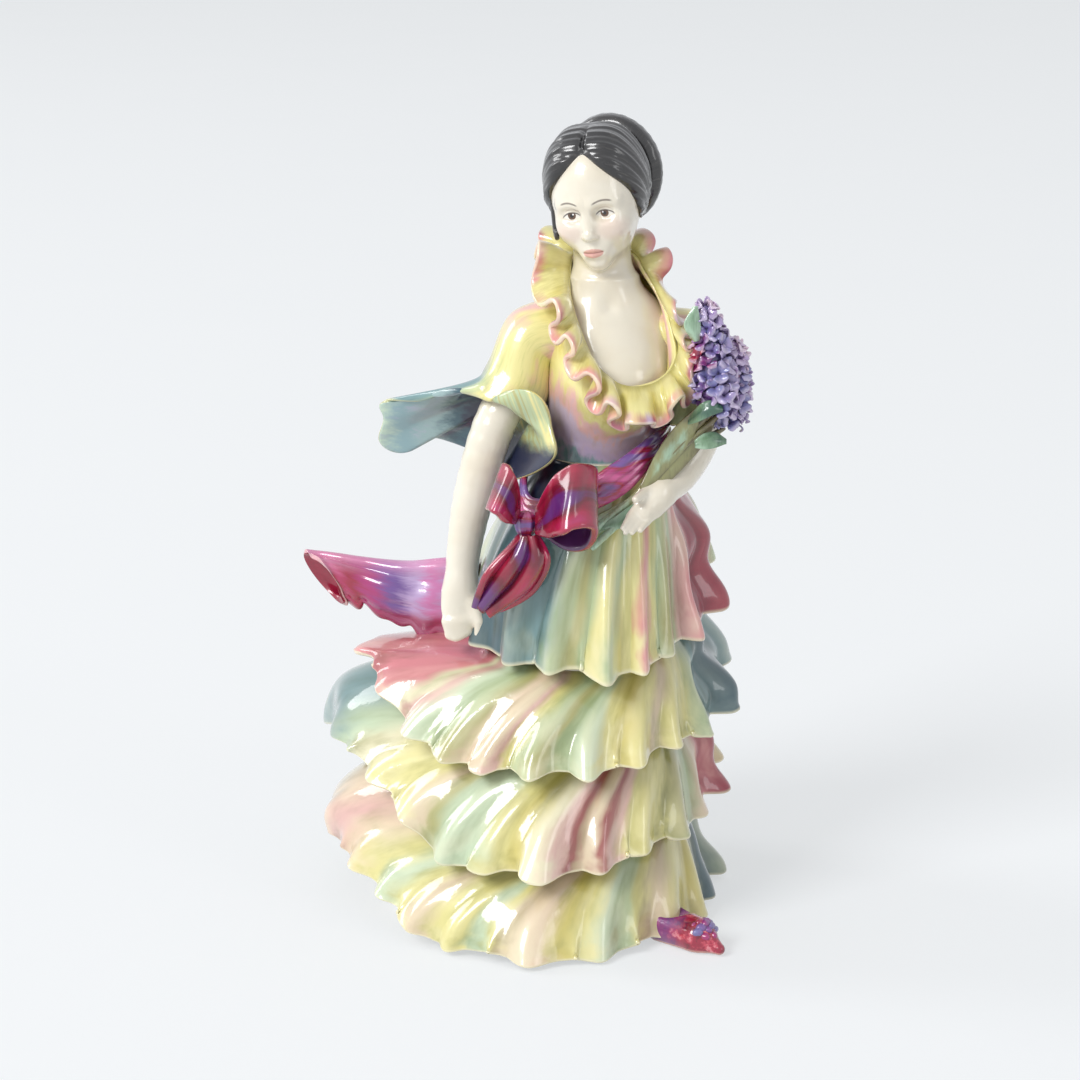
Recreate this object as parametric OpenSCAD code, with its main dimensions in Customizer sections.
// Bone china figurine of a standing lady in a dress of four flounces.
// Frame: millimetres, +Z up, the lady looks along -Y, origin at the middle of the base plate's underside.
// Cast and hand-made pieces sit on one another with a thin gap for the slip that sticks them.

/* [China] */
// Thickness of the cast walls
wall = 2.2; // [1.8:0.1:2.6]
// Gap for the slip between two stuck pieces
lute = 0.25; // [0.15:0.05:0.35]

/* [Base] */
// Thickness of the plate that closes the base
plate_t = 3; // [2:0.5:5]
// Radius of the plate and of the underskirt's foot
foot_r = 33; // [31:0.5:34]
// Radius of the firing vent
vent_r = 2.5; // [1.5:0.5:4]
// Distance of the vent from the middle of the plate
vent_x = 14; // [10:1:20]

/* [Skirt] */
// Height of the waist above the table
waist_z = 112; // [108:1:116]
// Radius of the underskirt at the waist
waist_r = 12.5; // [11.5:0.5:13]
// Sideways lean of the waist
lean = 17; // [15:0.5:19]
// Height of the band by which a flounce is stuck on
seat_h = 2; // [1:0.5:3]
// Depth of the folds against the modelled depth
fold_depth = 1; // [0.7:0.05:1.2]

/* [Joints] */
// Radius of the underskirt's spigot, which fits the bodice
spigot_r = 8; // [6:0.5:9]
// Height of that spigot
spigot_h = 6; // [4:0.5:8]
// Step inside the spigot's foot
spigot_lip = 0.8; // [0.4:0.1:1.2]
// Radius of the neck's tenon
neck_tenon_r = 3.5; // [2.5:0.5:4.5]
// Length of the neck's tenon
neck_tenon_h = 7; // [5:0.5:9]
// Radius of the arms' tenons
arm_tenon_r = 2.2; // [1.6:0.2:2.6]
// Length of the arms' tenons inside the bodice
arm_tenon_h = 5; // [3:0.5:6]

/* [Figure] */
// Turn of the bodice towards the left arm, in degrees
bodice_turn = 12; // [5:1:18]
// Radius of the neck
neck_r = 6.8; // [6:0.1:7.4]
// Half width of the head
head_w = 11.6; // [10.5:0.1:12.5]
// Half depth of the head
head_d = 13.2; // [12:0.1:14]
// Half height of the head
head_h = 15.2; // [14.4:0.1:16]
// Turn of the head towards the right arm, in degrees
head_turn = 16; // [5:1:25]
// Nod of the head, in degrees
head_nod = 8; // [0:1:15]
// Lean of the head towards the right shoulder, in degrees
head_roll = 8; // [0:1:12]
// Thickness of the hair
hair_t = 2; // [1.4:0.1:2.6]

/* [Frills and ribbons] */
// Thickness of the collar and the ribbons
ribbon_t = 1.5; // [1.2:0.1:2]
// Height of the waves in the collar
wave_h = 2.4; // [1.5:0.1:3]
// Number of waves in the collar
waves = 17; // [13:1:21]

/* [Hidden] */
$fn = 48;

// Columns round a flounce
flounce_steps = 72;
// The waist, from which the upper figure is placed
waist = [lean, 0, waist_z];
// Floor of the underskirt
core_z = plate_t + lute;
// Underside of the neck, above the waist
neck_up = 41;
// Middle of the neck, from the waist
neck_at = [0.3, 2.2];
// Middle of the head, from the waist
head_at = [-1.2, -0.5, 61];
// Roots of the arms, from the waist
right_root = [-18, 0.5, 25];
left_root = [22.5, 1, 24];

// Flounces: how far a seam lies above the hem over it, the middle of the hem, then reach and height of
// the hem every 30 degrees from +X, then the folds and the puffs of the upper side, each as
// [angle, half width, rise], then how far the seam is turned against the hem and how it swings out
second_tuck = -3;
third_tuck = 0.5;
hem_tuck = 0;
over_mid = [12, 0];
over_reach = [28.5, 32, 33, 34, 31, 29, 25.5, 26, 27, 28, 28, 27.5];
over_z = [72, 83, 80, 75, 73, 71, 69, 67, 66.5, 65.5, 65.5, 69];
over_puffs = [[20, 40, 2], [232, 46, 4]];
over_folds = [[7, 11, 4.5], [29, 10, 4.5], [52, 12, 4], [75, 13, 4], [100, 13, 4], [125, 13, 3],
    [150, 12, 3], [180, 12, 1.5], [208, 12, 2], [236, 10, 2], [258, 9, 3.5], [282, 9, 4.5],
    [300, 7, 2.5], [318, 8, 2.5], [340, 9, 3]];
over_slant = 10;
over_flare = 1.5;
second_mid = [5, 2];
second_reach = [38.5, 45, 43, 42, 43, 43.5, 43.5, 38, 35, 37, 37, 37.5];
second_z = [47, 57, 51, 46, 46, 55, 61.5, 49, 43, 43.5, 44.5, 46];
second_puffs = [[170, 35, 4]];
second_folds = [[3, 9, 5], [25, 10, 4], [48, 11, 4], [70, 11, 4], [92, 11, 4], [113, 11, 4], [135, 12, 4],
    [158, 10, 4], [178, 9, 4], [198, 8, 2], [216, 8, 3], [231, 7, 3], [246, 7, 3], [265, 9, 4],
    [284, 8, 3.5], [303, 8, 3], [322, 8, 2.5], [341, 9, 3]];
second_slant = 17;
second_flare = 1.8;
third_mid = [1, 3];
third_reach = [40.5, 45, 42, 43, 46, 52.5, 46.5, 38, 40, 42, 42, 42];
third_z = [26, 30, 22, 20, 25, 34, 38.5, 31.5, 20.5, 20, 22, 24];
third_puffs = [[160, 34, 8]];
third_folds = [[3, 9, 5], [22, 10, 5], [44, 11, 4], [66, 11, 4], [88, 11, 4], [110, 11, 4], [132, 11, 4],
    [155, 10, 5], [177, 9, 2], [205, 9, 2.5], [222, 8, 2.5], [240, 7, 2], [256, 7, 2], [274, 9, 4],
    [292, 7, 2.5], [308, 7, 2], [326, 9, 3], [345, 9, 2]];
third_slant = 24;
third_flare = 1.9;
hem_mid = [0, 2];
hem_reach = [42, 45, 44, 46, 48, 49, 47.5, 40.5, 43, 46, 45, 44.5];
hem_z = [1.5, 1.2, 0.8, 0.8, 2, 9, 14.5, 8, 1.5, 0.8, 0.8, 1.2];
hem_puffs = [[168, 32, 6]];
hem_folds = [[15, 10, 5], [38, 10, 4], [57, 10, 3], [77, 11, 3], [98, 11, 3], [119, 11, 3], [140, 11, 3],
    [160, 9, 3], [178, 8, 2], [200, 8, 2], [215, 7, 2], [231, 7, 2], [246, 6, 2], [272, 10, 3],
    [292, 7, 2], [320, 11, 3], [338, 7, 2], [353, 8, 2]];
hem_slant = 27;
hem_flare = 2;

// Bodice sections: height, middle x and y, half width, half depth, all from the waist
bodice_rows = [[lute, 0, 0, waist_r - 0.5, waist_r - 2], [5, 0.5, -0.3, waist_r - 0.1, waist_r - 1.7],
    [11, 1.4, -1.3, 13.6, 12.8], [17, 2.2, -2, 14.4, 14.2], [22, 2.8, -1.8, 14.2, 13.8],
    [27, 3, -0.6, 13.6, 11.8], [32, 2.6, 0.8, 13, 9.6], [36, 1.8, 1.6, 11.4, 8.2],
    [39, 0.7, 2.1, 8.8, 7.3], [41, 0.3, 2.2, 7.2, 6.8]];

// Seam of the collar and the step from it to the collar's edge, from the waist, round from the back of
// the neck
collar_seam = [[0.3, 10.2, 47], [-5.4, 8, 46.5], [-7.6, 3, 45], [-8, -4, 39], [-6, -10, 32],
    [-2.4, -14.9, 25], [3, -17, 20.4], [9, -17.2, 19.6], [15, -14.6, 22], [17.6, -9.8, 27.6],
    [14.8, -4.6, 35.5], [10.4, 1, 42.5], [8, 5, 46], [5, 9, 47]];
collar_step = [[0, 8, 1.5], [-8, 6, 2.5], [-11.4, -1, 1], [-7.8, -4, -3], [-4.1, -7, -6],
    [-0.7, -7.8, -9], [0.5, -8, -11], [1.5, -7.8, -11], [3.4, -6.8, -8], [4.6, -5, -5], [4, -3.4, -4],
    [5.2, 0, -1.5], [5.1, 4.5, 1], [2.6, 7.3, 1.5]];

// Arms: middle line and [half width, half depth], from the root
right_line = [[0, 0, 0], [-2.2, -2, -8], [-7.6, -4.5, -18], [-12.3, -6.5, -34], [-14.9, -8.5, -47],
    [-15.8, -10, -54.5], [-16.2, -11.4, -61], [-15.9, -12.2, -66.5]];
right_size = [[3.6, 3.6], [4.6, 4.6], [4.8, 4.8], [4.5, 4.5], [3.8, 3.8], [3.6, 3.3], [4.4, 3.1],
    [2.6, 2.2]];
left_line = [[0, 0, 0], [1.2, -2, -9], [0.4, -6.2, -18.6], [-4.4, -11.5, -26.3], [-9.6, -19, -30.2],
    [-12.4, -23, -33.2], [-15, -26.2, -35.6], [-17.4, -28.6, -37.8]];
left_size = [[3.6, 3.6], [4.6, 4.6], [4.6, 4.6], [4.4, 4.4], [3.4, 3.2], [3.2, 2.3], [3.1, 1.9],
    [1.6, 1.1]];

// Sleeves: armhole on the bodice's side as [side, middle y, middle height, half depth, half height],
// from the waist
right_hole = [-1, 1, 29, 7, 7];
left_hole = [1, 1, 27.2, 6.4, 6.3];
// Sleeves: rings down the arm as [centre, half width, half depth, direction], from the waist
right_rings = [[[-16.5, 0.5, 27], 6.7, 7, [-0.8, -0.05, -0.6]],
    [[-20.6, -1.6, 18], 5.5, 6.8, [-0.45, -0.1, -0.9]], [[-24, -2.5, 13], 7, 7.6, [-0.45, -0.1, -0.9]]];
left_rings = [[[22.2, 1.5, 26], 6.4, 6.4, [0.75, -0.05, -0.65]],
    [[23.9, -0.5, 17.5], 5.8, 6.4, [0.15, -0.1, -0.95]], [[24, -1, 12.5], 6.4, 7, [0.15, -0.1, -0.95]]];
// Sleeves: open end, from the waist, listed round the arm against the clock as seen from the hand
right_open = [[-49.2, 9, 10.3], [-52.5, 12, 6.4], [-52.2, 14, 0], [-48, 14, -3.5], [-41, 13, 1],
    [-31.4, 11, -2], [-26, 6.5, -8], [-24.4, -4.6, -6.6], [-13, -17.4, 3.2], [-14.2, -14.8, 11.4],
    [-20, -12.2, 17], [-26, -8, 15.4], [-38.2, 2, 12.8]];
left_open = [[17.6, -1, 7], [19, 6, 6], [24, 9, 5], [29, 8.5, 6], [31.5, 5, 7], [31.5, -1, 8],
    [30, -5, 9], [26, -8, 9.5], [21, -8.5, 9], [18, -6, 8]];

// Periodic and open smooth curves through listed values
function at(list, i) = list[(i % len(list) + len(list)) % len(list)];
function blend(a, b, c, d, t) = 0.5 * ((2 * b) + (c - a) * t + (2 * a - 5 * b + 4 * c - d) * t * t
    + (3 * b - a - 3 * c + d) * t * t * t);
function round_curve(list, s) = let (p = s * len(list), i = floor(p))
    blend(at(list, i - 1), at(list, i), at(list, i + 1), at(list, i + 2), p - i);
function line_curve(list, s) = let (n = len(list) - 1, p = min(max(s, 0), 0.99999) * n, i = floor(p))
    blend(list[max(i - 1, 0)], list[i], list[i + 1], list[min(i + 2, n)], p - i);
function bump(t) = pow(cos(90 * min(max(t, -1), 1)), 2);
function apart(a, b) = let (d = ((a - b) % 360 + 360) % 360) d > 180 ? d - 360 : d;
function total(list, i = 0) = i < len(list) ? list[i] + total(list, i + 1) : 0;
function rise(folds, a) = fold_depth * total([for (f = folds) f[2] * bump(apart(a, f[0]) / f[1])]);
function unit(v) = v / norm(v);
function backwards(list) = [for (i = [len(list) - 1 : -1 : 0]) list[i]];

// The underskirt's round outside
function core_part(z) = min(max((z - core_z) / (waist_z - core_z), 0), 1);
function core_x(z) = let (s = core_part(z)) lean * (3 * s * s - 2 * s * s * s);
function core_r(z) = waist_r + (foot_r - waist_r) * (1 - pow(core_part(z), 1.05));
function core_ring(z, grow, steps) = [for (i = [0 : steps - 1]) let (a = 360 * i / steps)
    [core_x(z) + (core_r(z) + grow) * cos(a), (core_r(z) + grow) * sin(a), z]];

// One point of a flounce: a is its direction, v runs from the seam to the hem, grow is measured outwards
function seam_point(z, a, grow) = [core_x(z) + (core_r(z) + lute + grow) * cos(a),
    (core_r(z) + lute + grow) * sin(a), z];
function flounce_point(mid, reach, z_list, folds, puffs, slant, flare, seam_z, a, v, grow) = let (
    s = a / 360,
    top = seam_point(seam_z, a + slant, grow),
    r = round_curve(reach, s) + rise(folds, a) * pow(v, 0.3) - wall + grow,
    hem = [mid[0] + r * cos(a), mid[1] + r * sin(a), round_curve(z_list, s)],
    side = 1 - pow(1 - v, flare),
    swell = rise(puffs, a) * sin(180 * pow(v, 0.7)),
    fall = 0.6 * (grow - wall) * 4 * v * (1 - v)
) [top[0] + (hem[0] - top[0]) * side + swell * cos(a), top[1] + (hem[1] - top[1]) * side + swell * sin(a),
    top[2] + (hem[2] - top[2]) * pow(v, 1.15) + fall];
function flounce_rows(mid, reach, z_list, folds, puffs, slant, flare, seams, grow) = concat(
    [[for (i = [0 : flounce_steps - 1]) let (a = 360 * i / flounce_steps)
        seam_point(seams[i] + seat_h, a + slant, grow)]],
    [for (v = [0, 0.12, 0.3, 0.55, 0.8, 1]) [for (i = [0 : flounce_steps - 1])
        flounce_point(mid, reach, z_list, folds, puffs, slant, flare, seams[i], 360 * i / flounce_steps,
            v, grow)]]);
function tucked(z_list, slant, tuck) = [for (i = [0 : flounce_steps - 1])
    round_curve(z_list, i / flounce_steps + slant / 360) + tuck];

// Closed solids from rows of points: a tube with two ends, and a ring that closes on itself
function skin(rows, cols, wrap) = [for (r = [0 : rows - (wrap ? 1 : 2)], c = [0 : cols - 1]) let (
    a = r * cols + c, b = r * cols + (c + 1) % cols, d = ((r + 1) % rows) * cols)
    each [[a, d + (c + 1) % cols, b], [a, d + c, d + (c + 1) % cols]]];
module tube(rows) {
    n = len(rows);
    m = len(rows[0]);
    all = [for (row = rows) each row];
    ends = [total_points(rows[0]) / m, total_points(rows[n - 1]) / m];
    caps = [for (c = [0 : m - 1]) each [[n * m, c, (c + 1) % m],
        [n * m + 1, (n - 1) * m + (c + 1) % m, (n - 1) * m + c]]];
    polyhedron(concat(all, ends), concat(skin(n, m, false), caps));
}
module ring(rows) {
    polyhedron([for (row = rows) each row], skin(len(rows), len(rows[0]), true));
}
function total_points(list, i = 0) = i < len(list) - 1 ? list[i] + total_points(list, i + 1) : list[i];

// A limb: a round rod along a smooth line
function frame_at(line, s) = let (t = unit(line_curve(line, s + 0.01) - line_curve(line, s - 0.01)),
    u = unit(cross([0, 1, 0.15], t))) [u, cross(t, u)];
function limb_rows(line, size, steps, sides) = [for (k = [0 : steps]) let (
    s = k / steps, p = line_curve(line, s), w = line_curve(size, s), f = frame_at(line, s))
    [for (i = [0 : sides - 1]) let (a = 360 * i / sides)
        p + w[0] * cos(a) * f[0] + w[1] * sin(a) * f[1]]];

// A ribbon: a flat band along a smooth line, with its own width direction at each listed point
function ribbon_rows(line, across, half, thick, steps) = [for (k = [0 : steps]) let (
    s = k / steps, p = line_curve(line, s), w = unit(line_curve(across, s)) * line_curve(half, s),
    t = unit(line_curve(line, s + 0.01) - line_curve(line, s - 0.01)), n = unit(cross(t, w)) * thick / 2)
    [p - w - 0.5 * n, p - 0.5 * w - n, p + 0.5 * w - n, p + w - 0.5 * n,
     p + w + 0.5 * n, p + 0.5 * w + n, p - 0.5 * w + n, p - w + 0.5 * n]];

// Head surface, in the head's own axes: dir is a unit vector, the face looks along -Y
function lobe(dir, aim, width) = exp(-pow(norm(dir - unit(aim)) / width, 2));
function head_radius(dir) = let (
    low = max(-dir[2], 0),
    w = head_w * (1 - 0.16 * low),
    d = head_d * (1 - 0.06 * low))
    1 / sqrt(pow(dir[0] / w, 2) + pow(dir[1] / d, 2) + pow(dir[2] / head_h, 2))
    + 1.7 * lobe(dir, [0, -1, -0.22], 0.13) + 0.9 * lobe(dir, [0, -1, -0.02], 0.12)
    + 1.2 * lobe(dir, [0, -0.72, -0.72], 0.22) + 0.6 * lobe(dir, [0, -0.95, -0.5], 0.15)
    - 0.7 * lobe(dir, [0.34, -0.94, 0.02], 0.16) - 0.7 * lobe(dir, [-0.34, -0.94, 0.02], 0.16);
head_rows = [176, 166, 156, 146, 136, 126, 117, 110, 103, 96, 90, 84, 77, 68, 57, 45, 32, 18, 5];
function aim(a, p) = [sin(p) * cos(a), sin(p) * sin(a), cos(p)];
function head_point(a, p, grow) = (head_radius(aim(a, p)) + grow) * aim(a, p);
// Lower edge of the hair, as the angle down from the crown every 30 degrees
hair_line = [122, 128, 132, 132, 132, 128, 122, 92, 62, 42, 62, 92];
function hair_waves(a, p) = 0.35 * sin(6 * a + 2 * p) * min(p / 40, 1);
module in_head() {
    translate(waist + head_at) rotate([0, -head_roll, 0]) rotate([head_nod, 0, -head_turn]) children();
}

// A patch over the head round the direction given by turn and lift
function patch_dir(turn, lift, q, b) = let (
    d = [sin(q) * cos(b), cos(q), sin(q) * sin(b)],
    e = [d[0], d[1] * cos(lift) - d[2] * sin(lift), d[1] * sin(lift) + d[2] * cos(lift)])
    [e[0] * cos(turn) - e[1] * sin(turn), e[0] * sin(turn) + e[1] * cos(turn), e[2]];

module base_plate() {
    color("ivory") difference() {
        cylinder(r = foot_r, h = plate_t);
        translate([vent_x, 0, -1]) cylinder(r = vent_r, h = plate_t + 2);
    }
}

module underskirt() {
    heights = [for (s = [0, 0.07, 0.15, 0.25, 0.35, 0.45, 0.55, 0.65, 0.75, 0.9, 1])
        core_z + (waist_z - core_z) * s];
    outer = [for (z = heights) core_ring(z, 0, 36)];
    inner = [for (z = heights)
        core_ring(z, -wall - max(0, core_part(z) - 0.8) * 5 * (waist_r - spigot_r + spigot_lip), 36)];
    color("ivory") union() {
        ring(concat(outer, backwards(inner)));
        translate([lean, 0, waist_z - 1.5]) difference() {
            cylinder(r = spigot_r, h = spigot_h + 1.5);
            translate([0, 0, -1]) cylinder(r = spigot_r - wall, h = spigot_h + 4);
        }
    }
}

module flounce(mid, reach, z_list, folds, puffs, slant, flare, seams) {
    ring(backwards(concat(flounce_rows(mid, reach, z_list, folds, puffs, slant, flare, seams, wall),
        backwards(flounce_rows(mid, reach, z_list, folds, puffs, slant, flare, seams, 0)))));
}
module overskirt() {
    color("khaki") flounce(over_mid, over_reach, over_z, over_folds, over_puffs, over_slant, over_flare,
        [for (i = [1 : flounce_steps]) waist_z - seat_h - 2 * lute]);
}
module second_flounce() {
    color("darkseagreen") flounce(second_mid, second_reach, second_z, second_folds, second_puffs,
        second_slant, second_flare, tucked(over_z, second_slant, second_tuck));
}
module third_flounce() {
    color("palegoldenrod") flounce(third_mid, third_reach, third_z, third_folds, third_puffs,
        third_slant, third_flare, tucked(second_z, third_slant, third_tuck));
}
module hem_flounce() {
    color("lightgreen") flounce(hem_mid, hem_reach, hem_z, hem_folds, hem_puffs, hem_slant, hem_flare,
        tucked(third_z, hem_slant, hem_tuck));
}

// Corner of the overskirt, gathered behind the right hand, thrown out sideways and rolled to a funnel:
// middle line, directions of its height and its depth, and half sizes along them
drape_line = [[-15.2, 8, 75], [-22, 8, 74.8], [-30, 9.5, 75.2], [-40, 12, 76.4], [-47.5, 13.5, 76.8],
    [-50.5, 13.6, 77]];
drape_tall = [[0, -0.1, -1], [0, -0.1, -1], [0.05, -0.1, -1], [0.25, -0.15, -1], [0.55, -0.25, -0.8],
    [0.62, -0.25, -0.74]];
drape_deep = [[0, -1, 0.1], [0, -1, 0.1], [0, -1, 0.1], [0.15, -0.95, 0.2], [0.3, -0.8, 0.45],
    [0.36, -0.76, 0.54]];
drape_half = [[7, 2.2], [8.2, 2.8], [7.2, 3.2], [6.4, 3.4], [7, 3.7], [7.4, 4]];
// Share of the length from which the funnel is hollow
funnel_from = 0.55;
function drape_row(s, grow) = let (h = line_curve(drape_half, s)) [for (i = [0 : 15]) let (a = 22.5 * i)
    line_curve(drape_line, s) + (h[0] + grow) * cos(a) * unit(line_curve(drape_tall, s))
        + (h[1] + grow) * sin(a) * unit(line_curve(drape_deep, s))];
module flying_drape() {
    hollow = [for (k = [0 : 6]) drape_row(funnel_from + (1 - funnel_from) * k / 6, -wall / 2)];
    over = [for (p = hollow[6]) p + 2 * (hollow[6][0] - hollow[5][0])];
    color("orchid") difference() {
        tube([for (k = [0 : 14]) drape_row(k / 14, 0)]);
        tube(concat(hollow, [over]));
    }
}

// Bodice outside: a is the direction, up is the height above the waist
function bodice_row(row, grow) = [for (i = [0 : 31]) let (a = 360 * i / 32, x = (row[3] + grow) * cos(a),
    y = (row[4] + grow) * sin(a)) waist + [row[1] + x * cos(bodice_turn) - y * sin(bodice_turn),
    row[2] + x * sin(bodice_turn) + y * cos(bodice_turn), row[0]]];
module bodice() {
    color("lemonchiffon") difference() {
        tube([for (row = bodice_rows) bodice_row(row, 0)]);
        translate(waist - [0, 0, 1]) cylinder(r = spigot_r + lute, h = spigot_h + lute + 1);
        translate(waist + [neck_at[0], neck_at[1], neck_up - neck_tenon_h - lute])
            cylinder(r = neck_tenon_r + lute, h = neck_tenon_h + 2);
        translate(waist + right_root) rotate([0, 90, 0])
            cylinder(r = arm_tenon_r + lute, h = arm_tenon_h + 5 + lute);
        translate(waist + left_root) rotate([0, -90, 0])
            cylinder(r = arm_tenon_r + lute, h = arm_tenon_h + 5 + lute);
    }
}

module head() {
    color("ivory") union() {
        in_head() tube([for (p = head_rows) [for (i = [0 : 27]) head_point(360 * i / 28, p, 0)]]);
        translate(waist + [neck_at[0], neck_at[1], neck_up + lute]) cylinder(r = neck_r, h = 12);
        translate(waist + [neck_at[0], neck_at[1], neck_up - neck_tenon_h])
            cylinder(r = neck_tenon_r, h = neck_tenon_h + 2);
    }
}

module hair() {
    function edge(a) = round_curve(hair_line, a / 360);
    function row(s, grow) = [for (i = [0 : 35]) let (a = 10 * i, p = max(edge(a) * s, 4))
        head_point(a, p, 2 * lute + grow * (hair_t + hair_waves(a, p)) * (1 - 0.6 * pow(s, 6)))];
    steps = [1, 0.92, 0.78, 0.6, 0.4, 0.2, 0.03];
    color("dimgray") in_head() tube(concat([for (s = backwards(steps)) row(s, 0)],
        [for (s = steps) row(s, 1)]));
}

module chignon() {
    span = 50;
    function row(q, high) = [for (i = [0 : 23]) let (b = 15 * i, d = patch_dir(-8, 6, q, b))
        (head_radius(d) + 3 * lute + hair_t + 0.4
            + high * (5.5 * pow(cos(90 * q / span), 0.7) + 0.6)) * d];
    rings = [2, 12, 22, 32, 42, 48];
    color("gray") in_head() tube(concat([for (q = rings) row(q, 1)],
        [for (q = backwards(rings)) row(q, 0)]));
}

// Curl by the cheek: its turn round the head, its fall from the crown, its radius and its thickness
curl_turn = 205;
curl_fall = 119;
curl_r = 0.9;
curl_t = 0.5;
module hair_curl() {
    color("dimgray") in_head() translate(head_point(curl_turn, curl_fall, curl_t + 2 * lute))
        rotate([0, curl_fall, curl_turn]) rotate_extrude() translate([curl_r, 0]) circle(r = curl_t);
}

module collar_ruffle() {
    cols = waves * 6;
    function wavy(s, v, side) = let (
        seam = round_curve(collar_seam, s),
        step = round_curve(collar_step, s),
        along = unit(round_curve(collar_seam, s + 0.005) - round_curve(collar_seam, s - 0.005)),
        up = unit(cross(step, along)))
        seam + step * v + up * (wave_h * pow(v, 1.2) * sin(360 * waves * s) + side * ribbon_t / 2);
    function rows(side) = [for (v = [0, 0.35, 0.7, 1]) [for (i = [0 : cols - 1]) wavy(i / cols, v, side)]];
    color("khaki") translate(waist) ring(concat(rows(-1), backwards(rows(1))));
}

module right_arm() {
    color("ivory") union() {
        translate(waist + right_root) tube(limb_rows(right_line, right_size, 14, 14));
        translate(waist + right_root) rotate([0, 90, 0]) cylinder(r = arm_tenon_r, h = arm_tenon_h + 5);
    }
}
module left_arm() {
    color("ivory") union() {
        translate(waist + left_root) tube(limb_rows(left_line, left_size, 16, 14));
        translate(waist + left_root) rotate([0, -90, 0]) cylinder(r = arm_tenon_r, h = arm_tenon_h + 5);
    }
}

// Where the bodice's side lies at a depth y and a height up, both from the waist
function bodice_at(up, k) = lookup(up, [for (row = bodice_rows) [row[0], row[k]]]);
function bodice_x(side, y, up) = let (
    w = bodice_at(up, 3),
    d = bodice_at(up, 4),
    lag = atan2(w * sin(bodice_turn), d * cos(bodice_turn)),
    far = asin((y - bodice_at(up, 2)) / norm([w * sin(bodice_turn), d * cos(bodice_turn)])),
    a = side > 0 ? far - lag : 180 - far - lag)
    bodice_at(up, 1) + w * cos(a) * cos(bodice_turn) - d * sin(a) * sin(bodice_turn);

// A sleeve runs from the armhole, over three rings, to its open end
sleeve_steps = 39;
function armhole(hole, a, grow) = let (
    y = hole[1] + (hole[3] + grow) * sin(a),
    up = hole[2] - hole[0] * (hole[4] + grow) * cos(a))
    [bodice_x(hole[0], y, up) + hole[0] * lute, y, up];
function sleeve_ring(mid, a, grow) = let (d = unit(mid[3]), u = unit(cross([0, 1, 0], d)))
    mid[0] + (mid[1] + grow) * cos(a) * u + (mid[2] + grow) * sin(a) * cross(d, u);
function sleeve_rows(hole, rings, open, grow) = let (mid = total_points(open) / len(open))
    [for (s = [0, 0.12, 0.25, 0.5, 0.75, 0.9, 1]) [for (i = [0 : sleeve_steps - 1]) let (
        a = 360 * i / sleeve_steps,
        end = round_curve(open, i / sleeve_steps))
        line_curve(concat([armhole(hole, a, grow)], [for (r = rings) sleeve_ring(r, a, grow)],
            [end + unit(end - mid) * grow]), s)]];
module sleeve(hole, rings, open, root) {
    translate(waist) difference() {
        ring(concat(sleeve_rows(hole, rings, open, ribbon_t),
            backwards(sleeve_rows(hole, rings, open, 0))));
        translate(root) rotate([0, root[0] < 0 ? 90 : -90, 0]) cylinder(r = arm_tenon_r + lute, h = 12);
    }
}
module right_sleeve() {
    color("paleturquoise") sleeve(right_hole, right_rings, right_open, right_root);
}
module left_sleeve() {
    color("paleturquoise") sleeve(left_hole, left_rings, left_open, left_root);
}

// Sash round the waist, dipping to the bow: its middle line outside the waist, round from the back
sash_line = [[0.5, -0.7, 5.4], [-0.9, -0.7, 5.3], [-3.4, -3.6, 3.4], [-5.1, -7.5, -5], [-6.3, -10.1, -9.5],
    [-2.9, -8.8, -6.5], [-0.5, -7.6, -1.5], [0.6, -6.3, 3.4], [1.4, -3.6, 5.1], [2.2, -1.9, 5.1],
    [1.9, -0.5, 5.4]];
sash_half = 3;
function sash_point(i) = let (s = i / 44, a = 90 + 360 * s, p = round_curve(sash_line, s))
    [waist_r * cos(a) + p[0], waist_r * sin(a) + p[1], p[2]];
module sash() {
    function row(up, grow) = [for (i = [0 : 43]) let (p = sash_point(i),
        out = unit([p[0], p[1], 0]), dip = bump(apart(360 * i / 44, 150) / 90))
        waist + p + (grow - 0.5 * dip * up) * out + [0, 0, up]];
    color("crimson") ring([row(-sash_half, ribbon_t), row(0, 1.3 * ribbon_t), row(sash_half, ribbon_t),
        row(sash_half, 0), row(0, 0), row(-sash_half, 0)]);
}

// Bow at the front of the waist: step from the sash to the knot, then the middle line, the direction of
// the width and the half width of each ribbon
knot_step = [-11.6, -7, -4.5];
knot_at = sash_point(20) + knot_step;
knot_r = 2.4;
right_loop = [[2.9, 0, 1], [6.5, -4, 5.5], [11.5, -5.6, 8.8], [15.6, -2.7, 7.4], [14.2, 1.1, 3],
    [9, 2, 1], [3.3, 1.6, 0.4]];
right_loop_across = [0, 0.6, 1];
right_loop_half = [2.2, 6.6, 8.4, 8.2, 8, 6.4, 2.2];
left_loop = [[-2.2, -0.4, 2.4], [-3.2, -3, 6], [-4.8, -3.4, 9.5], [-6.4, -0.3, 9.6], [-5.4, 2.4, 7.8],
    [-3.4, 2.4, 5.2], [-2.4, 1.7, 3.4]];
left_loop_across = [0.4, 0.6, 1];
left_loop_half = [1.6, 4.4, 5.8, 6, 5.5, 4, 1.6];
tail_line = [[0.6, -1, -1.8], [0, -2.6, -6.5], [-3.4, -2, -12.5], [-7, 0, -17], [-9.6, 1.6, -20]];
tail_across = [[1, 0, 0], [1, 0, -0.15], [1, 0.2, -0.4], [1, 0.3, -0.6], [1, 0.3, -0.6]];
tail_half = [2, 5.6, 6.4, 4.6, 2.6];
module bow_right_loop() {
    color("crimson") translate(waist + knot_at) tube(ribbon_rows(right_loop,
        [for (p = right_loop) right_loop_across], right_loop_half, ribbon_t, 20));
}
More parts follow.
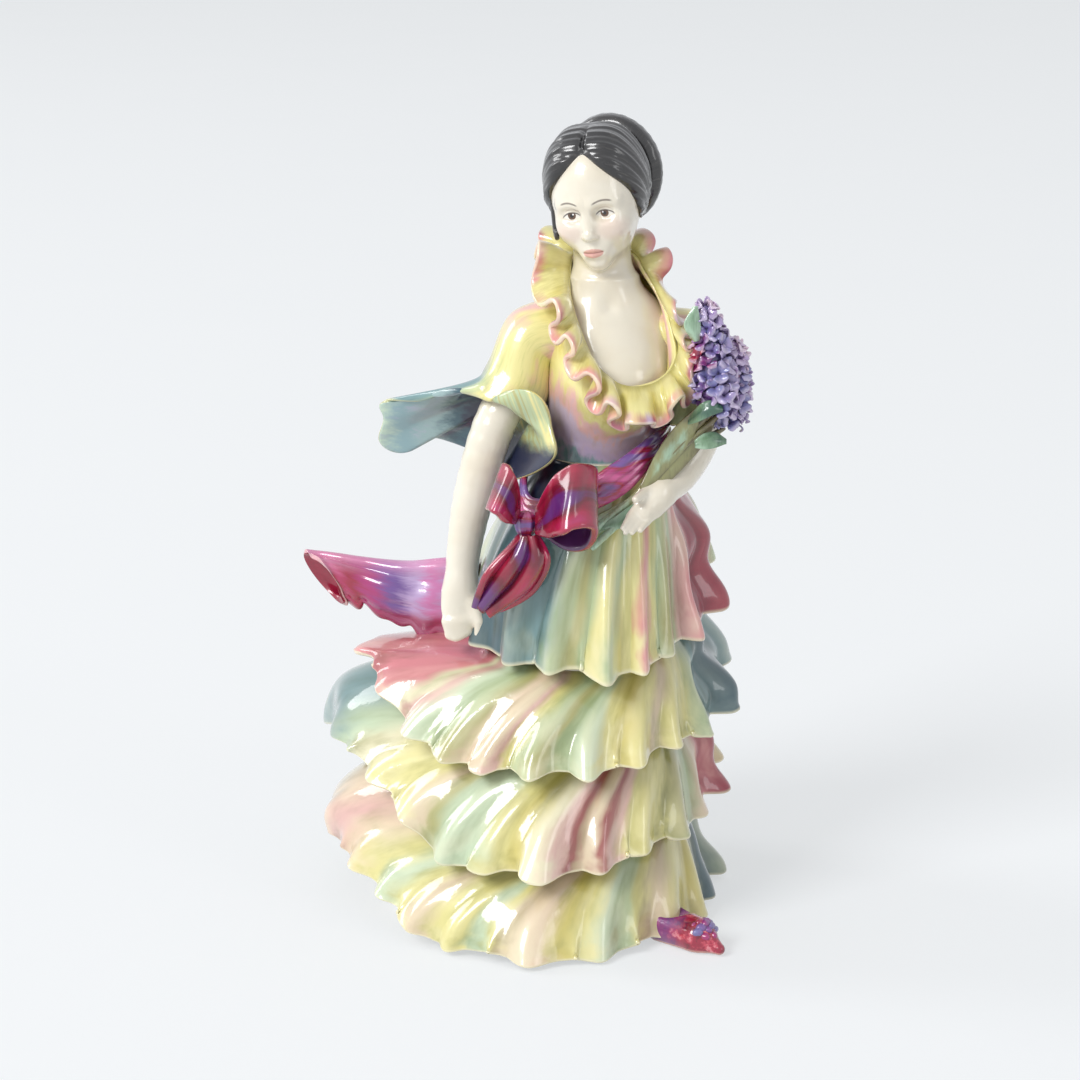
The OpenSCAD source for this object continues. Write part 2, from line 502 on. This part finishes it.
module bow_left_loop() {
    color("crimson") translate(waist + knot_at) tube(ribbon_rows(left_loop,
        [for (p = left_loop) left_loop_across], left_loop_half, ribbon_t, 18));
}
module bow_knot() {
    color("mediumvioletred") translate(waist + knot_at + [0.2, 1, 0.6])
        scale([1, 0.9, 1.2]) sphere(r = knot_r);
}
module bow_tail() {
    color("crimson") translate(waist + knot_at) tube(ribbon_rows(tail_line, tail_across, tail_half,
        ribbon_t, 12));
}

// Bouquet held in the left hand: the line along which the stems lie, then how far the foot and the end of
// each stem spread from it, all from the waist
stem_line = [[-4.5, -25.4, -15.2], [1.5, -22.8, -10.8], [7.6, -19, -4.3], [13, -17.3, 3],
    [19, -17.8, 8.2], [24.5, -18.2, 13.4]];
stem_feet = [[0, 0, 0], [-1.8, 0.6, -1.2], [1.6, -0.8, -1.9], [-3.4, 0.2, 0.4], [0.6, 0.9, 1.7]];
stem_ends = [[0.6, -0.6, 0], [1.6, -1.4, 0.2], [-1, -0.6, -0.6], [3.6, 2.6, -4], [1.8, 1.6, -4.4]];
stem_r = 0.8;
module bouquet_stems() {
    last = len(stem_line) - 1;
    color("olivedrab") translate(waist) for (i = [0 : len(stem_feet) - 1])
        tube(limb_rows([for (k = [0 : last]) stem_line[k] + stem_feet[i] * pow(1 - k / last, 1.5)
            + stem_ends[i] * pow(k / last, 1.5)], [for (p = stem_line) [stem_r, stem_r]], 10, 8));
}
function spike_rows(wide, tall) = [for (k = [0 : 10]) let (s = k / 10) [for (i = [0 : 15]) let (
    a = 22.5 * i, r = wide * sqrt(sin(15 + 160 * s)) * (1 - 0.35 * s) * (1 + 0.1 * pow(-1, i + k)))
    [r * cos(a), r * sin(a), tall * s]]];
// Flower spikes as [place, half width, height, lean], and leaves as middle line, direction of the width
// and half width, all from the waist
tall_spike = [[26.4, -19.5, 14.5], 5, 24.5, [-6, -8, 0]];
short_spike = [[28.4, -15.6, 10.5], 4.7, 18.5, [-6, 4, 0]];
tall_leaf = [[21, -21, 31], [20.2, -21.6, 33.5], [19.8, -21.6, 36], [20.6, -21, 39]];
tall_leaf_across = [1, 0.3, 0.2];
tall_leaf_half = [0.6, 1.8, 1.9, 0.4];
low_leaf = [[20.9, -20.4, 6.7], [23, -20.4, 7.4], [25.6, -19.8, 7.6], [28.2, -18.8, 7]];
low_leaf_across = [0, 0.5, 1];
low_leaf_half = [0.8, 1.9, 1.9, 0.4];
leaf_t = 1.2;
module spike(size) {
    translate(size[0]) rotate(size[3]) tube(spike_rows(size[1], size[2]));
}
module bouquet_flowers() {
    color("mediumpurple") translate(waist) union() {
        spike(tall_spike);
        spike(short_spike);
    }
}
module bouquet_leaves() {
    color("mediumseagreen") translate(waist) {
        tube(ribbon_rows(tall_leaf, [for (p = tall_leaf) tall_leaf_across], tall_leaf_half, leaf_t, 8));
        tube(ribbon_rows(low_leaf, [for (p = low_leaf) low_leaf_across], low_leaf_half, leaf_t, 8));
    }
}

// Toe of the left shoe, stuck against the outside of the hem, with a rosette part of the way along it
toe_turn = -42;
toe_r = 12;
toe_wide = 0.5;
toe_high = 0.52;
toe_lift = 0.4;
rosette_r = 1.8;
rosette_t = 1.2;
rosette_along = 0.56;
rosette_tilt = 20;
hem_out = lute + max([for (a = [toe_turn - 12 : 1 : toe_turn + 12])
    round_curve(hem_reach, a / 360) + rise(hem_folds, a)]);
rosette_up = toe_lift + toe_r * toe_high * sqrt(1 - rosette_along * rosette_along) + rosette_t + lute;
module shoe() {
    color("crimson") translate([hem_mid[0], hem_mid[1], toe_lift]) rotate([0, 0, toe_turn]) difference() {
        translate([hem_out, 0, 0]) scale([1, toe_wide, toe_high]) sphere(r = toe_r);
        translate([0, 0, -toe_r]) cylinder(r = hem_out + 2 * toe_r, h = toe_r);
        translate([0, 0, -toe_r]) cylinder(r = hem_out, h = 3 * toe_r);
    }
}
module shoe_rosette() {
    color("mediumpurple") translate([hem_mid[0], hem_mid[1], rosette_up]) rotate([0, 0, toe_turn])
        translate([hem_out + rosette_along * toe_r, 0, 0]) rotate([0, rosette_tilt, 0])
            rotate_extrude() translate([rosette_r, 0]) circle(r = rosette_t);
}

base_plate();
underskirt();
hem_flounce();
third_flounce();
second_flounce();
overskirt();
flying_drape();
bodice();
head();
hair();
chignon();
hair_curl();
collar_ruffle();
right_arm();
left_arm();
right_sleeve();
left_sleeve();
sash();
bow_right_loop();
bow_left_loop();
bow_knot();
bow_tail();
bouquet_stems();
bouquet_flowers();
bouquet_leaves();
shoe();
shoe_rosette();
